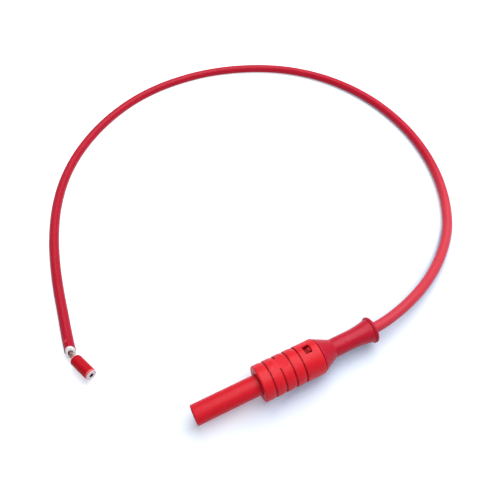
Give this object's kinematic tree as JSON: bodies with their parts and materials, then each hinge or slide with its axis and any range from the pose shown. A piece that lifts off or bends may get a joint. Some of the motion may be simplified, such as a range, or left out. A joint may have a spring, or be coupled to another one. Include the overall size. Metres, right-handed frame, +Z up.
{
  "type": "sheathed banana plug lead",
  "caption": "Insulated 4 mm test plug with a spring-loaded sliding sheath, ribbed grip and anti-kink boot, on a short free cable whose far end is half stripped.",
  "frame": {"origin": "on the surface the plug lies on, below the middle of the plug's length and of its width, the cable not counted", "axes": "+X along the plug from its open nose to the cable, +Z up, +Y towards the side the cable loops to"},
  "size_m": [0.1985, 0.1964, 0.0138],
  "materials": {
    "grip": "matte moulded red plastic",
    "sheath": "smoother moulded red plastic",
    "boot": "soft crimson moulded elastomer",
    "jacket": "soft matte red cable jacket",
    "insulation": "white inner insulation, cut",
    "strands": "dull brownish-grey twisted strands",
    "nickel": "nickel plate on brass",
    "spring_steel": "bright spring wire"
  },
  "bodies": {
    "plug": {"grip_shell": "grip", "contact_carrier": "grip", "contact_pin": "nickel", "contact_cage": "nickel", "kink_boot": "boot", "crimped_core": "strands", "cable": "jacket", "inner_insulation": "insulation", "bare_core": "strands", "slug_jacket": "jacket", "slug_insulation": "insulation", "sheath_spring": "spring_steel"},
    "sheath": {"retractable_sheath": "sheath"}
  },
  "joints": [
    {"name": "sheath_slide", "type": "slide", "parent": "plug", "child": "sheath", "axis": [1, 0, 0], "range_m": [0, 0.0185], "stiffness_N_per_m": 250, "springref_m": -0.004, "deforming": ["sheath_spring"]}
  ]
}
